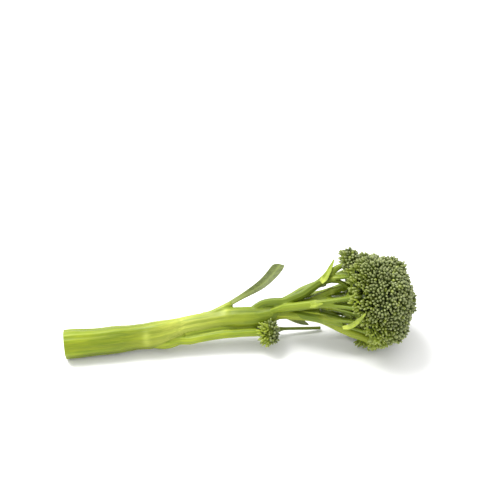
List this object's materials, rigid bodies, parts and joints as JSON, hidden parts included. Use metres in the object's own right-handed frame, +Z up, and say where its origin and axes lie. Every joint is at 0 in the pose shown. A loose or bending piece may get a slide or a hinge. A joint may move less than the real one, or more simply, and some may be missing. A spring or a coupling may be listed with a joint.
{
  "type": "stalk of baby broccoli",
  "caption": "Cut stalk of baby broccoli lying down: ridged stem, forking branches to a dome of tight bud florets, a side shoot with its own head, a slim leaf and bracts.",
  "frame": {"origin": "middle of the bounding box, on the surface the stalk lies on", "axes": "+X from the flat cut of the stem to the crown, +Z up, +Y to the side where the long leaf leans"},
  "size_m": [0.1772, 0.0536, 0.0491],
  "materials": {
    "stem_flesh": "satin",
    "branch_flesh": "satin",
    "bud_skin": "matte",
    "leaf_blade": "matte",
    "bract_skin": "satin"
  },
  "bodies": {
    "root": {"main_stem": "stem_flesh", "side_shoot": "branch_flesh", "branch_outer_1": "branch_flesh", "branch_outer_2": "branch_flesh", "branch_outer_3": "branch_flesh", "branch_outer_4": "branch_flesh", "branch_outer_5": "branch_flesh", "branch_outer_6": "branch_flesh", "branch_outer_7": "branch_flesh", "branch_inner_1": "branch_flesh", "branch_inner_2": "branch_flesh", "branch_inner_3": "branch_flesh", "branch_inner_4": "branch_flesh", "branch_inner_5": "branch_flesh", "branch_small": "branch_flesh", "floret_tip": "bud_skin", "floret_outer_1": "bud_skin", "floret_outer_2": "bud_skin", "floret_outer_3": "bud_skin", "floret_outer_4": "bud_skin", "floret_outer_5": "bud_skin", "floret_outer_6": "bud_skin", "floret_outer_7": "bud_skin", "floret_inner_1": "bud_skin", "floret_inner_2": "bud_skin", "floret_inner_3": "bud_skin", "floret_inner_4": "bud_skin", "floret_inner_5": "bud_skin", "floret_small": "bud_skin", "side_shoot_head": "bud_skin", "long_leaf": "leaf_blade", "small_leaf": "leaf_blade", "fork_bract": "bract_skin", "stem_bract": "bract_skin", "crown_bract": "bract_skin", "trimmed_petiole": "branch_flesh"}
  },
  "joints": []
}
